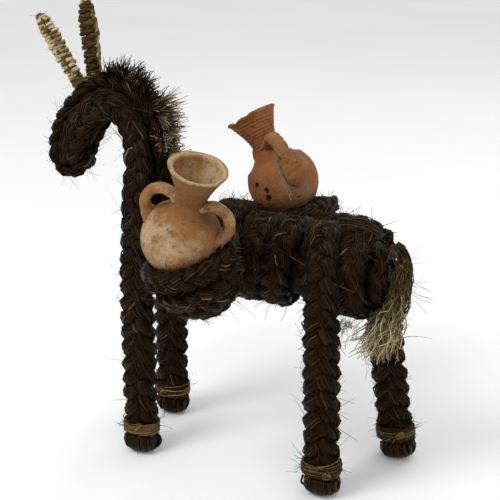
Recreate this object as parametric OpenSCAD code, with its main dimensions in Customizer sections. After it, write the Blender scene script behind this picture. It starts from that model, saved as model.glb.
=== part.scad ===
// Braided straw pack animal with a pannier nest and a clay jug on each side.
// Millimetres, +Z up. The head points along -X, the near side is -Y.
// The origin is on the ground, under the middle of the whole object.

/* [Body] */
// Radius of the body over its braid
body_r = 30; // [29:0.5:31]
// Height of the body's axis above the ground
body_z = 147; // [145:0.5:149]
// Distance between two turns of the braid round the body
wrap_pitch = 18.8; // [18:0.1:19]
// Thickness of the braid round the body
wrap_t = 9; // [7:0.5:10]

/* [Legs] */
// Radius of a leg's braid
leg_r = 11.6; // [10.5:0.1:12]
// Radius of the folded braid end that stands on the ground
hoof_r = 12.8; // [12:0.1:14]
// Height of the straw tie above the ground
tie_h = 20; // [17:0.5:24]
// Radius of the stiffening wire inside a leg
wire_r = 1.5; // [1:0.1:2]

/* [Neck and head] */
// Width of a neck or cheek braid
neck_w = 21; // [20:0.5:22]
// Width of the braid over the crest and the face
crest_w = 23; // [22:0.5:24]
// Thickness of a neck or head braid
neck_t = 9.6; // [9:0.1:10]
// Length of an ear
ear_len = 53; // [40:1:60]

/* [Panniers] */
// Distance from the animal's middle to the middle of a jug's belly
jug_y = 65; // [64:0.5:70]
// Depth of the near nest's rim below the middle of the jug's belly
near_seat = 16; // [16:0.5:18]
// Depth of the far nest's rim below the middle of the jug's belly
far_seat = 24; // [22:0.5:26]
// Radius of a nest's rim, to the middle of its braid
rim_r = 27; // [27:0.1:28]
// Thickness of a nest's braid
nest_t = 12; // [11.8:0.1:12.2]

/* [Jugs] */
// Radius of a jug's belly
belly_r = 25; // [24.5:0.1:25]
// Height of a jug's mouth above the middle of its belly
mouth_h = 52; // [48:1:56]
// Outer radius of a jug's mouth
mouth_r = 18; // [17:0.5:20]
// Outer radius of a jug's neck where it is narrowest
throat_r = 9.6; // [9.2:0.1:10]
// Thickness of a jug's wall
wall_t = 2.4; // [2:0.1:2.6]

/* [Hidden] */
$fn = 48;

gap = 0.3;                      // left between pieces that only touch
dark = "#3a2a1c";
straw = "#b9a57c";
tie_straw = "#8a6f43";
clay = "#c79a6e";
steel = "#8c8f92";

// Moves the animal so that the middle of the whole object stands over the origin
centre = [19.95, -0.85, 0];

// ---- body: five turns of braid, then the rump braid, then one more turn ----
body_front = -52;
front_turns = 5;
rear_turns = 1;
rump_gap = 26;                  // left between the turns for the rump braid
front_end = body_front + front_turns * wrap_pitch;
rear_start = front_end + rump_gap;
body_back = rear_start + rear_turns * wrap_pitch;
core_r = body_r - wrap_t;
chest_t = 6.4;                  // thickness of the coil that closes each end
rump_t = 11.5;

// ---- legs: where each stands, and where its straight part ends ----
leg_top = 118;
near_fore = [[-70, -30, 0], [-73, -25, 150]];
far_fore = [[-80, 33, 0], [-75, 25, 150]];
near_hind = [[66, -30, 0], [65, -34, leg_top]];
far_hind = [[97, 38, 0], [81, 34, leg_top]];

// ---- panniers ----
near_belly = [-16, -jug_y, 176];
near_lean = [0.33, -0.175, 0.93];
far_belly = [-4, jug_y - 1, 181];
far_lean = [-0.515, 0.055, 0.855];
near_nest_lean = [-0.26, -0.22, 0.94];
far_nest_lean = [-0.22, 0.06, 0.97];
seat_r = belly_r + gap;         // of the round seat that a jug rests in

// ---- tail: it hangs from a knot sewn to the top of the rump ----
knot_r = 2.4;
tail_root = [body_back + rump_t + 0.5, 0, body_z + 18];

// ================= helpers =================
function unit(v) = v / norm(v);
function tangent(p, i) = unit(p[min(i + 1, len(p) - 1)] - p[max(i - 1, 0)]);
function side_of(t, ref) = unit(ref - (ref * t) * t);

// A point of a smooth curve through the points p, between p[i] and p[i + 1]
function spline_at(p, i, u) =
    let (a = p[max(i - 1, 0)], b = p[i], c = p[i + 1], d = p[min(i + 2, len(p) - 1)])
    0.5 * (2 * b + (c - a) * u + (2 * a - 5 * b + 4 * c - d) * u * u
        + (3 * b - a - 3 * c + d) * u * u * u);

// The same curve as a list of points, with steps points for each stretch
function spline(p, steps = 4) = concat(
    [for (i = [0 : len(p) - 2], s = [0 : steps - 1]) spline_at(p, i, s / steps)],
    [p[len(p) - 1]]);

// A flat oval rod along a path. Each size is [half width along ref, half thickness].
module sweep(path, sizes, ref, sides = 12) {
    n = len(path);
    points = [for (i = [0 : n - 1], k = [0 : sides - 1])
        let (t = tangent(path, i), s = side_of(t, ref), v = cross(t, s), a = 360 * k / sides,
             z = sizes[min(i, len(sizes) - 1)])
        path[i] + s * z[0] * cos(a) + v * z[1] * sin(a)];
    walls = [for (i = [0 : n - 2], k = [0 : sides - 1])
        let (m = (k + 1) % sides)
        [i * sides + k, (i + 1) * sides + k, (i + 1) * sides + m, i * sides + m]];
    first = [for (k = [0 : sides - 1]) k];
    last = [for (k = [sides - 1 : -1 : 0]) (n - 1) * sides + k];
    polyhedron(points, concat([first], walls, [last]), convexity = 6);
}

// Turns its children's +Z axis to point along v, keeping their X axis level
module along(v) {
    u = unit(v);
    rotate([0, 0, atan2(u[1], u[0])]) rotate([0, acos(u[2]), 0]) rotate([0, 0, -atan2(u[1], u[0])])
        children();
}

module ring(r, tube) {
    rotate_extrude() translate([r, 0]) circle(tube);
}

// A bar with round ends, seen from its end: w wide along X, t thick along Y
module stadium(w, t) {
    for (s = [-1, 1]) translate([s * (w - t) / 2, 0]) circle(t / 2);
    square([w - t, t], center = true);
}

module placed() {
    translate(centre) children();
}

// Its children are drawn round the body's axis, with their Z axis pointing to the tail
module on_body_axis() {
    translate([0, 0, body_z]) rotate([0, 90, 0]) children();
}

// ================= body =================
module body_core() {
    color(tie_straw) placed() on_body_axis() difference() {
        translate([0, 0, body_front]) cylinder(r = core_r - gap, h = body_back - body_front);
        for (x = core_tie_places()) translate([0, 0, x]) ring(core_r, 1.6);
    }
}

function core_tie_places() = [for (k = [1 : 4]) body_front + k * (body_back - body_front) / 5];

module body_core_ties() {
    color(tie_straw) placed() on_body_axis() for (x = core_tie_places())
        translate([0, 0, x]) rotate_extrude() translate([core_r - 0.7, 0]) circle(0.6);
}

// A run of braid turns lying against each other, starting at x
module turns(x, count) {
    rotate_extrude() for (k = [0 : count - 1])
        translate([body_r - wrap_t / 2, x + (k + 0.5) * wrap_pitch])
            rotate([0, 0, 90]) stadium(wrap_pitch + (count > 1 ? 0.6 : 0), wrap_t);
}

module body_wrap() {
    color(dark) placed() on_body_axis() {
        turns(body_front, front_turns);
        turns(rear_start, rear_turns);
    }
}

// The braid coiled over one end of the body, t thick in the middle
module end_coil(t) {
    edge = min(t, 9) / 2;       // half the thickness of the outer turn
    rotate_extrude() intersection() {
        union() {
            square([core_r - edge, 2 * edge]);
            translate([core_r - edge, edge]) circle(edge);
            square([core_r - 3 * edge, t]);
            translate([core_r - 3 * edge, t - edge]) circle(edge);
        }
        translate([0, gap]) square([body_r, t]);
    }
}

module chest_coil() {
    color(dark) placed() on_body_axis() translate([0, 0, body_front]) mirror([0, 0, 1]) end_coil(chest_t);
}

module rump_coil() {
    color(dark) placed() on_body_axis() translate([0, 0, body_back]) end_coil(rump_t);
}

// The braid over the rump that carries both hind legs
rump_x = (front_end + rear_start) / 2;
function rump_x_at(a) = rump_x + (a < 90 ? near_hind[1][0] - rump_x : far_hind[1][0] - rump_x)
    * pow(cos(a), 2);
function rump_r_at(a) = body_r - wrap_t / 2 + 9.2 * pow(abs(cos(a)), 0.6);
function rump_path() = concat(
    [near_hind[1] + [0, 0, gap], near_hind[1] + [0, -1, 14]],
    [for (a = [0 : 15 : 180])
        [rump_x_at(a), -rump_r_at(a) * cos(a), body_z + rump_r_at(a) * sin(a)]],
    [far_hind[1] + [0, 1, 14], far_hind[1] + [0, 0, gap]]);
function rump_sizes(n) = [for (i = [0 : n - 1])
    let (flat = min(1, min(i, n - 1 - i) / 2)) [leg_r - 0.6, leg_r - 0.8 - 6.4 * flat]];

module rump_braid() {
    path = rump_path();
    color(dark) placed() sweep(path, rump_sizes(len(path)), [1, 0, 0]);
}

// ================= legs =================
// The outline of a leg from its sole up, turned round the leg's own axis
module leg_profile(len) {
    difference() {
        union() {
            translate([0, -4]) square([leg_r, len + 8]);
            translate([0, -4]) square([hoof_r - 4, 18]);
            translate([hoof_r - 6, 6.5]) circle(6);
            translate([0, -4]) square([hoof_r, 10.5]);
            translate([0, 6.5]) square([hoof_r - 6, 6]);
        }
        translate([leg_r + 1.4, tie_h]) circle(3);
        translate([-1, 3]) square([1 + wire_r + 0.05, len + 10]);
    }
}

module leg(ends) {
    axis = ends[1] - ends[0];
    color(dark) placed() intersection() {
        translate(ends[0]) along(axis) rotate_extrude() leg_profile(norm(axis));
        translate([-200, -100, 0]) cube([400, 200, ends[1][2]]);
    }
}

module leg_wire(ends) {
    axis = ends[1] - ends[0];
    color(steel) placed() translate(ends[0]) along(axis)
        translate([0, 0, 3.1]) cylinder(r = wire_r, h = norm(axis) - 9, $fn = 24);
}

// Two turns of straw round a leg, lying in its groove
module leg_tie(ends) {
    axis = ends[1] - ends[0];
    color(tie_straw) placed() translate(ends[0]) along(axis)
        for (s = [-1, 1]) translate([0, 0, tie_h + s * 2.6]) ring(leg_r + 2.3, 2);
}

module near_foreleg() leg(near_fore);
module far_foreleg() leg(far_fore);
module near_hindleg() leg(near_hind);
module far_hindleg() leg(far_hind);
module near_foreleg_wire() leg_wire(near_fore);
module far_foreleg_wire() leg_wire(far_fore);
module near_hindleg_wire() leg_wire(near_hind);
module far_hindleg_wire() leg_wire(far_hind);
module near_fore_tie() leg_tie(near_fore);
module far_fore_tie() leg_tie(far_fore);
module near_hind_tie() leg_tie(near_hind);
module far_hind_tie() leg_tie(far_hind);

// ================= neck and head =================
side_y = 10;                    // of the middle of a side braid at the head
neck_side = [[-73, -24, 150.4], [-75, -19, 176], [-76, -13, 200], [-79, -side_y, 222],
             [-86, -side_y, 234]];
cheek_side = [[-86.6, -side_y, 234.6], [-97, -side_y, 242], [-107, -side_y, 240], [-119, -side_y, 229.5],
              [-128.5, -side_y, 215], [-133.5, -side_y, 205]];
crest_line = [[-56, 0, 184], [-60, 0, 198], [-63, 0, 213], [-67, 0, 229], [-75, 0, 243], [-87, 0, 252.5],
              [-100, 0, 256]];
face_line = [[-100.5, 0, 256], [-112.5, 0, 254], [-129.7, 0, 240], [-141.5, 0, 222.8], [-146.5, 0, 203],
             [-141, 0, 191.5], [-130, 0, 193]];

module near_neck_braid() {
    color(dark) placed() side_neck();
}

module far_neck_braid() {
    color(dark) placed() mirror([0, 1, 0]) side_neck();
}

module side_neck() {
    path = spline(neck_side);
    sweep(path, [[neck_w / 2, neck_t / 2]], [1, 0, 0.4]);
}

module side_cheek() {
    sweep(spline(cheek_side), [[neck_w / 2, neck_t / 2]], [1, 0, -2]);
}

module near_cheek_braid() {
    color(dark) placed() side_cheek();
}

module far_cheek_braid() {
    color(dark) placed() mirror([0, 1, 0]) side_cheek();
}

module crest_braid() {
    color(dark) placed() sweep(spline(crest_line), [[crest_w / 2, neck_t / 2]], [0, 1, 0]);
}

module face_braid() {
    color(dark) placed() sweep(spline(face_line), [[crest_w / 2, neck_t / 2]], [0, 1, 0]);
}

module neck_core() {
    color(tie_straw) placed()
        sweep(spline([[-75, 0, 153], [-75, 0, 180], [-76, 0, 203], [-79, 0, 220], [-86, 0, 233]]),
              [[7.5, core_y]], [1, 0, 0.4]);
}

module head_core() {
    color(tie_straw) placed()
        sweep(spline([[-87, 0, 235], [-97, 0, 242], [-107, 0, 240], [-119, 0, 229.5], [-128.5, 0, 215],
                      [-133.5, 0, 205]]), [[8.5, core_y]], [1, 0, -2]);
}

// Half the thickness of the straw between the two side braids
core_y = side_y - neck_t / 2 - gap;

// Cut tufts of straw that stand on the crest from the ears to the back of the neck
mane_tufts = 9;
mane_h = 8;
module mane() {
    path = spline(crest_line, 8);
    n = len(path) - 1;
    color(dark) placed() for (k = [0 : mane_tufts - 1]) {
        i = round(n * (0.12 + 0.84 * k / (mane_tufts - 1)));
        out = cross(tangent(path, i), [0, 1, 0]);
        translate(path[i] - out * (neck_t / 2 + gap)) along(-out)
            cylinder(r1 = 2.8, r2 = 3.4, h = mane_h, $fn = 24);
    }
}

// ================= ears =================
near_ear = [[-122, -9, 252.5], [-28, -3, 47]];
far_ear = [[-122, 9, 254], [-5, 1, 50]];
ear_root = 5;                   // of the core that is pushed into the head
wrap_start = 5.5;               // of the cord above the foot of the ear

module ear_core(ear) {
    color(tie_straw) placed() translate(ear[0]) along(ear[1]) translate([0, 0, -ear_root])
        cylinder(r = 2, h = ear_len + ear_root - 3, $fn = 24);
}

// The cord wound round an ear, thicker in the middle and thin at the tip
module ear_wrap(ear) {
    color(straw) placed() translate(ear[0]) along(ear[1]) rotate_extrude() difference() {
        polygon([[0, wrap_start], [5, wrap_start], [5.4, 0.3 * ear_len], [5.8, 0.7 * ear_len],
                 [5, 0.88 * ear_len], [3.2, 0.98 * ear_len], [1.5, ear_len], [0, ear_len]]);
        translate([-1, 0]) square([3.1, ear_len - 2.9]);
    }
}

module near_ear_core() ear_core(near_ear);
module near_ear_wrap() ear_wrap(near_ear);
module far_ear_core() ear_core(far_ear);
module far_ear_wrap() ear_wrap(far_ear);

// The cord that ties the foot of each ear down on the poll
module poll_lashing() {
    color(straw) placed() for (ear = [near_ear, far_ear])
        translate(ear[0]) along(ear[1]) for (k = [0, 1]) translate([0, 0, 1.3 + 2.6 * k]) ring(3.6, 1.35);
}

// ================= tail =================
module tail_knot() {
    color(tie_straw) placed() translate(tail_root) sphere(knot_r, $fn = 24);
}

tail_line = [[3.2, 0, 0], [6, 0, -3], [7.2, 0, -10], [6.6, 0, -22], [2.5, -2, -40], [-4, -6, -56],
             [-11, -9, -70]];
module tail_tassel() {
    path = [for (p = spline(tail_line)) tail_root + p];
    n = len(path) - 1;
    color(straw) placed() sweep(path, [for (i = [0 : n]) let (u = i / n) [2 + 8 * u * u, 2 + 5 * u]],
                                [0.3, 1, 0]);
}

// The turns of cord that hold the straws of the tail together, just below its knot
module tail_binding() {
    color(tie_straw) placed() translate(tail_root + [7.2, 0, -9.4]) for (k = [0, 1])
        translate([0, 0, -2.6 * k]) ring(4, 1.35);
}

// ================= panniers =================
// Its children are drawn with the middle of a jug's belly at the origin
module at_nest(belly, lean) {
    color(dark) placed() translate(belly) along(lean) children();
}

module nest_rim(depth) {
    translate([0, 0, -depth]) ring(rim_r, nest_t / 2);
}

// The lower turns of a nest's coil: [radius, depth below the rim]. A flat knot of braid closes it.
lower_turns = [[rim_r - 1.4, 11.95], [rim_r - 6, 22.7], [rim_r - 13.8, 31.2]];
base_knot_r = 9;                // of the flat knot
base_knot_top = 30;
nest_h = 39.5;                  // of a nest below the middle of its rim

module nest_bowl(depth) {
    rotate_extrude() translate([0, -depth]) {
        for (t = lower_turns) translate([t[0], -t[1]]) circle(nest_t / 2, $fn = 8);
        translate([0, -nest_h]) square([base_knot_r, nest_h - base_knot_top]);
    }
}

// The loose straw inside a nest that the jug rests on: its top follows the jug's belly
module nest_packing(depth) {
    top = [for (a = [0 : 15 : 45]) (seat_r + gap) * [sin(a), -cos(a)]];
    wall = [for (t = lower_turns) [t[0] - nest_t / 2 - 2 * gap, -depth - t[1] + 1]];
    floor_z = -depth - base_knot_top + gap;
    rotate_extrude() polygon(concat(top, [wall[0], wall[1], [6, floor_z + 1], [0, floor_z]]));
}

module near_nest_rim() at_nest(near_belly, near_nest_lean) nest_rim(near_seat);
module near_nest_bowl() at_nest(near_belly, near_nest_lean) nest_bowl(near_seat);
module near_nest_packing() at_nest(near_belly, near_nest_lean) nest_packing(near_seat);
module far_nest_rim() at_nest(far_belly, far_nest_lean) nest_rim(far_seat);
module far_nest_bowl() at_nest(far_belly, far_nest_lean) nest_bowl(far_seat);
module far_nest_packing() at_nest(far_belly, far_nest_lean) nest_packing(far_seat);

strap_t = 5;
// The braid over the back that joins the two nests
module saddle_strap() {
    over = body_r + gap + strap_t / 2;
    path = [for (a = [40 : 10 : 140])
        [-14 + 6 * a / 180, -over * cos(a), body_z + over * sin(a)]];
    color(dark) placed() sweep(path, [[10.5, strap_t / 2]], [1, 0, 0]);
}

// ================= jugs =================
// Half of a jug's outline from its axis outward, with the middle of the belly at height 0
module jug_outline(grow) {
    base_h = -21 + grow;
    difference() {
        union() {
            circle(belly_r - grow, $fn = 96);
            polygon([[0, 10], [throat_r + 6 - grow, 16.5], [throat_r + 1.8 - grow, 21], [throat_r - grow, 28],
                     [throat_r + 1.6 - grow, 36], [mouth_r - 2.5 - grow, mouth_h - 6], [mouth_r - grow, mouth_h],
                     [0, mouth_h]]);
        }
        translate([-100, -60]) square([100, 160]);
        translate([-1, -60]) square([60, 60 + base_h]);
    }
}

module jug_pot() {
    rotate_extrude() difference() {
        jug_outline(0);
        jug_outline(wall_t);
        translate([-1, mouth_h - 1]) square([mouth_r - wall_t + 1, 3]);
    }
}

// A rolled handle from the neck out and down to the belly, in the XZ plane
handle_line = [[9, 0, 26.5], [16, 0, 29.5], [22.8, 0, 27.5], [26.8, 0, 21], [26, 0, 13.5], [22.5, 0, 8]];
module jug_handle() {
    path = spline(handle_line);
    n = len(path) - 1;
    difference() {
        sweep(path, [for (i = [0 : n]) let (u = i / n) [3.6 + 1.6 * u * u, 3.4]], [0, 1, 0], 12);
        rotate_extrude() jug_outline(-0.1);
    }
}

module jug(belly, lean, spin) {
    color(clay) placed() translate(belly) along(lean) rotate([0, 0, spin]) children();
}

near_spin = 10;
far_spin = -45;
module near_jug_pot() jug(near_belly, near_lean, near_spin) jug_pot();
module near_jug_front_handle() jug(near_belly, near_lean, near_spin + 180) jug_handle();
module near_jug_rear_handle() jug(near_belly, near_lean, near_spin) jug_handle();
module far_jug_pot() jug(far_belly, far_lean, far_spin) jug_pot();
module far_jug_inner_handle() jug(far_belly, far_lean, far_spin) jug_handle();
module far_jug_outer_handle() jug(far_belly, far_lean, far_spin + 180) jug_handle();

// The thin thread tied round a handle
module jug_thread() {
    translate([26.6, 0, 18]) ring(6, 0.5);
}

module near_jug_thread() jug(near_belly, near_lean, near_spin) jug_thread();
module far_jug_thread() jug(far_belly, far_lean, far_spin) jug_thread();

// ================= drawing =================
body_core();
body_core_ties();
body_wrap();
chest_coil();
rump_coil();
rump_braid();
near_foreleg();
far_foreleg();
near_hindleg();
far_hindleg();
near_foreleg_wire();
far_foreleg_wire();
near_hindleg_wire();
far_hindleg_wire();
near_fore_tie();
far_fore_tie();
near_hind_tie();
far_hind_tie();
neck_core();
head_core();
near_neck_braid();
far_neck_braid();
crest_braid();
near_cheek_braid();
far_cheek_braid();
face_braid();
mane();
near_ear_core();
near_ear_wrap();
far_ear_core();
far_ear_wrap();
poll_lashing();
tail_knot();
tail_binding();
tail_tassel();
saddle_strap();
near_nest_rim();
near_nest_bowl();
near_nest_packing();
far_nest_rim();
far_nest_bowl();
far_nest_packing();
near_jug_pot();
near_jug_front_handle();
near_jug_rear_handle();
near_jug_thread();
far_jug_pot();
far_jug_inner_handle();
far_jug_outer_handle();
far_jug_thread();
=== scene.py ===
"""The looks of the braided straw pack donkey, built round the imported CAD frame."""
import math

import bpy
import numpy as np
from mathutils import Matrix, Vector, noise


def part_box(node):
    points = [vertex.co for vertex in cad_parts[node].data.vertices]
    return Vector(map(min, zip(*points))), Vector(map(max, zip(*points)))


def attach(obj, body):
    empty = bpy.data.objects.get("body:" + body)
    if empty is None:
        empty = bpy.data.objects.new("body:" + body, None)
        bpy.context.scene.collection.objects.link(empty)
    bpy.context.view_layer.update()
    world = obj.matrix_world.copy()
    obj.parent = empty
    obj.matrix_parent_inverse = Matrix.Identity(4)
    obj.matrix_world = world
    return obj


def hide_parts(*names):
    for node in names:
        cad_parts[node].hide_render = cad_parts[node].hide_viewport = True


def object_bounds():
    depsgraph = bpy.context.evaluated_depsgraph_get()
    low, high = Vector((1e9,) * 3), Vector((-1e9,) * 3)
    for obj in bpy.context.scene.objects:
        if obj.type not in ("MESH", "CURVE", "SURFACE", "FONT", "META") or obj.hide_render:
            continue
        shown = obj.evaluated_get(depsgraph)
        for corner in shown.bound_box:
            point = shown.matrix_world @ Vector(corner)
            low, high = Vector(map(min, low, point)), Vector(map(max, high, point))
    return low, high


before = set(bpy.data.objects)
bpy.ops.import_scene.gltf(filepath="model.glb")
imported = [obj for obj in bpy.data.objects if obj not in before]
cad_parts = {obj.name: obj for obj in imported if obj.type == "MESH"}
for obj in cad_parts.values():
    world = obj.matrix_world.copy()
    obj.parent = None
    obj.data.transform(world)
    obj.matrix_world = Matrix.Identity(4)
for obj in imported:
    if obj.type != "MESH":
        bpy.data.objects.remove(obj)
cad_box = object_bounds()
rng = np.random.default_rng(11)

# The shapes below are in millimetres, in the animal's own coordinates: the body's axis is on y = 0,
# and body_front is where its first turn of braid starts. The CAD core of the body says where that is.
core_low, core_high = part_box("body_core")
body_front, body_back = -52.0, 86.8
shift = np.array([core_low.x * 1000 - body_front, (core_low.y + core_high.y) * 500, 0])
body_z = (core_low.z + core_high.z) * 500
body_r, wrap_t, wrap_pitch = 30.0, 9.0, 18.8
front_end, rear_start = 42.0, 68.0
X, Y, Z = np.eye(3)


# ------------------------------------------------------------------ helpers
def unit(v):
    return v / np.maximum(np.linalg.norm(v, axis=-1, keepdims=True), 1e-9)


def across(v, t):
    """The part of v at right angles to t, as a unit vector."""
    return unit(v - (v * t).sum(-1, keepdims=True) * t)


def even(p, step):
    """Points about step apart along the line p, and their distances from its start."""
    d = np.r_[0, np.cumsum(np.linalg.norm(np.diff(p, axis=0), axis=1))]
    s = np.linspace(0, d[-1], max(2, round(d[-1] / step) + 1))
    return np.stack([np.interp(s, d, p[:, k]) for k in range(3)], 1), s


def curve(points, step):
    """The same for a smooth curve through the points."""
    p = np.asarray(points, float)
    q = np.vstack([2 * p[0] - p[1], p, 2 * p[-1] - p[-2]])
    u = np.linspace(0, 1, 24, endpoint=False)[:, None]
    out = []
    for i in range(1, len(q) - 2):
        a, b, c, d = q[i - 1:i + 3]
        out.append(0.5 * (2 * b + (c - a) * u + (2 * a - 5 * b + 4 * c - d) * u**2
                          + (3 * b - a - 3 * c + d) * u**3))
    return even(np.vstack(out + [q[-2:-1]]), step)


def along(v):
    """The rotation that points +Z along v and keeps its turn about v."""
    v = unit(np.asarray(v, float))
    phi, theta = math.atan2(v[1], v[0]), math.acos(v[2])

    def rz(a):
        return np.array([[math.cos(a), -math.sin(a), 0], [math.sin(a), math.cos(a), 0], [0, 0, 1]])
    ry = np.array([[math.cos(theta), 0, math.sin(theta)], [0, 1, 0],
                   [-math.sin(theta), 0, math.cos(theta)]])
    return rz(phi) @ ry @ rz(-phi)


def wander(count, s, waves=((0.05, 1.0), (0.13, 0.6), (0.31, 0.3))):
    """A smooth random line for each of count fibres, at the distances s: about -1 to 1."""
    total = np.zeros((count, len(s)))
    for rate, size in waves:
        rates = rate * rng.uniform(0.7, 1.4, (count, 1))
        total += size * np.sin(s[None] * rates * 2 * np.pi / 2 + rng.uniform(0, 6.3, (count, 1)))
    return total / sum(w[1] for w in waves)


def dark_tones(count):
    """How light each fibre is: most are dark, a few are pale."""
    t = rng.beta(1.7, 3.0, count) * 0.72
    pale = rng.random(count) < 0.025
    return np.where(pale, rng.uniform(0.6, 0.9, count), t)


class Straw:
    """Gathers the vertices, faces and tones of one piece, in millimetres."""

    def __init__(self):
        self.verts, self.tones, self.faces, self.count = [], [], {}, 0

    def add(self, verts, faces, tones):
        for f in faces:
            self.faces.setdefault(f.shape[1], []).append(f + self.count)
        self.verts.append(verts)
        self.tones.append(np.broadcast_to(tones, len(verts)))
        self.count += len(verts)

    def tubes(self, paths, radii, tones, sides=4, oval=None):
        """Tubes along paths[fibre, point]. oval = (U, V, a, b) gives each ring as an ellipse."""
        fibres, points, _ = paths.shape
        radii = np.broadcast_to(radii, (fibres, points))
        t = unit(np.gradient(paths, axis=1))
        if oval is None:
            u = np.empty_like(paths)
            u[:, 0] = across(np.broadcast_to(np.array([0.31, 0.52, 0.79]), t[:, 0].shape), t[:, 0])
            for i in range(1, points):
                u[:, i] = across(u[:, i - 1], t[:, i])
            v = np.cross(t, u)
            a = b = radii
        else:
            u, v, a, b = oval
        angle = np.arange(sides) * 2 * np.pi / sides
        ring = ((u * a[..., None])[:, :, None] * np.cos(angle)[:, None]
                + (v * b[..., None])[:, :, None] * np.sin(angle)[:, None])
        verts = (paths[:, :, None] + ring).reshape(-1, 3)
        f, i, k = np.meshgrid(np.arange(fibres), np.arange(points - 1), np.arange(sides), indexing="ij")
        start = (f * points + i) * sides
        nxt = (k + 1) % sides
        walls = np.stack([start + k, start + nxt, start + sides + nxt, start + sides + k], -1).reshape(-1, 4)
        first = (np.arange(fibres) * points * sides)[:, None] + np.arange(sides)
        caps = np.vstack([first[:, ::-1], first + (points - 1) * sides])
        tones = np.broadcast_to(np.asarray(tones, float).reshape(fibres, -1), (fibres, points))
        self.add(verts, [walls, caps], np.repeat(tones.reshape(-1), sides))


def in_scene(name, block):
    """A new object for a mesh, a light or a camera, put into the scene."""
    ob = bpy.data.objects.new(name, block)
    bpy.context.scene.collection.objects.link(ob)
    return ob


def round_z(r, angle, z):
    """Points at the distance r from the z axis."""
    return np.stack([r * np.cos(angle), r * np.sin(angle), z], 1)


def finish_piece(name, data, material, nodes, body="root"):
    """Makes the Blender object of a piece, rides it and says what it replaces."""
    verts = (np.vstack(data.verts) + shift) / 1000
    verts[:, 2] = np.maximum(verts[:, 2], 0.0003)
    mesh = bpy.data.meshes.new(name)
    mesh.vertices.add(len(verts))
    mesh.vertices.foreach_set("co", verts.ravel())
    loops, starts, n = [], [], 0
    for sides, groups in sorted(data.faces.items()):
        f = np.vstack(groups)
        loops.append(f.ravel())
        starts.append(n + np.arange(len(f)) * sides)
        n += f.size
    mesh.loops.add(n)
    mesh.loops.foreach_set("vertex_index", np.concatenate(loops).astype(np.int32))
    starts = np.concatenate(starts)
    mesh.polygons.add(len(starts))
    mesh.polygons.foreach_set("loop_start", starts.astype(np.int32))
    mesh.update(calc_edges=True)
    mesh.polygons.foreach_set("use_smooth", np.ones(len(starts), bool))
    tone = mesh.attributes.new("tone", "FLOAT", "POINT")
    tone.data.foreach_set("value", np.concatenate(data.tones).astype(np.float32))
    mesh.materials.append(material)
    piece = in_scene(name, mesh)
    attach(piece, body)
    if nodes:
        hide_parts(*nodes)


# ------------------------------------------------------------------ braids and fibres
def braid(data, points, width, thick, wide_way, pitch=32.0, fibres=28, fibre_r=0.52, phase=0.0,
          ends=(1.0, 1.0), lift=0.0, closed=False, tone=0.0):
    """A flat three-strand braid of straw along a line. wide_way is its wide side: a function of
    the tangents and the points. width and thick are numbers or lists spread evenly along it.
    Returns its frame."""
    p, s = points
    count = len(p)
    t = unit(np.gradient(p, axis=0))
    if closed:
        t[0] = t[-1] = unit(p[1] - p[-2])
        pitch = s[-1] / max(1, round(s[-1] / pitch))
    w_dir = across(wide_way(t, p), t)
    n_dir = np.cross(t, w_dir)
    spread = np.linspace(0, 1, count)
    wide = np.interp(spread, np.linspace(0, 1, np.size(width)), np.atleast_1d(width))
    deep = np.interp(spread, np.linspace(0, 1, np.size(thick)), np.atleast_1d(thick))
    close_in = np.ones(count)
    for side, end in enumerate(ends):
        if end < 1:
            d = s if side == 0 else s[-1] - s
            close_in *= end + (1 - end) * np.sqrt(np.clip(d / 12, 0, 1))
    wide, deep = wide * close_in, deep * close_in
    a_w, a_t = 0.245 * wide, 0.26 * deep
    paths, tones = [], []
    for k in range(3):
        angle = 2 * np.pi * (s / pitch + k / 3 + phase)
        if not closed:
            angle = angle + 0.22 * np.sin(s / 23 + k)
        centre = (p + w_dir * ((wide / 2 - a_w) * np.sin(angle))[:, None]
                  + n_dir * ((deep / 2 - a_t) * np.sin(2 * angle))[:, None])
        ts = unit(np.gradient(centre, axis=0))
        u = unit(np.cross(n_dir, ts))
        v = np.cross(ts, u)
        # A dark core fills each strand and shows between the fibres as painted shade.
        data.tubes(centre[None], 0.0, 0.12, sides=10,
                   oval=(u[None], v[None], 0.92 * a_w[None], 0.92 * a_t[None]))
        turn = (np.arange(fibres) / fibres)[:, None] * 2 * np.pi + rng.uniform(0, 6.3)
        turn = turn + 0.055 * s[None] + 0.30 * wander(fibres, s)
        out = 1 + (0.07 + lift) * wander(fibres, s, ((0.09, 1.0), (0.2, 0.7))) * (not closed)
        paths.append(centre[None] + u[None] * (a_w * out * np.cos(turn))[..., None]
                     + v[None] * (a_t * out * np.sin(turn))[..., None])
        base = dark_tones(fibres) + tone
        # Fibres at a strand's edges, where it tucks under the next strand, are darker and those on its faces
        # lighter: painted shade and painted light.
        crease_shade = np.cos(turn) ** 2
        tones.append(base[:, None] + 0.16 * wander(fibres, s) + 0.14 - 0.42 * crease_shade)
    paths, tones = np.concatenate(paths), np.clip(np.concatenate(tones), 0, 1)
    radii = fibre_r * rng.uniform(0.7, 1.2, (len(paths), 1)) * (1 + 0.18 * wander(len(paths), s))
    data.tubes(paths, radii * np.minimum(1, 0.4 + close_in), tones, sides=3)
    return p, t, w_dir, n_dir, wide, deep


def strays(data, frame_of, count, length=(7, 20), radius=(0.12, 0.28), out=0.7, tone=None, fuzz=5,
           points=6):
    """Loose fibre ends that leave a braid's surface, and fuzz times as many short fine ones."""
    p, t, w_dir, n_dir, wide, deep = frame_of
    if fuzz:
        strays(data, frame_of, int(count * fuzz), (2.0, 6.5), (0.07, 0.15), 1.0, tone, 0, 4)
    i = rng.integers(0, len(p), count)
    angle = rng.uniform(0, 2 * np.pi, count)
    c, sn = np.cos(angle)[:, None], np.sin(angle)[:, None]
    start = p[i] + w_dir[i] * c * wide[i][:, None] * 0.42 + n_dir[i] * sn * deep[i][:, None] * 0.42
    outward = unit(w_dir[i] * c + n_dir[i] * sn)
    fly(data, start, outward, t[i], length, radius, out, tone, points)


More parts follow.
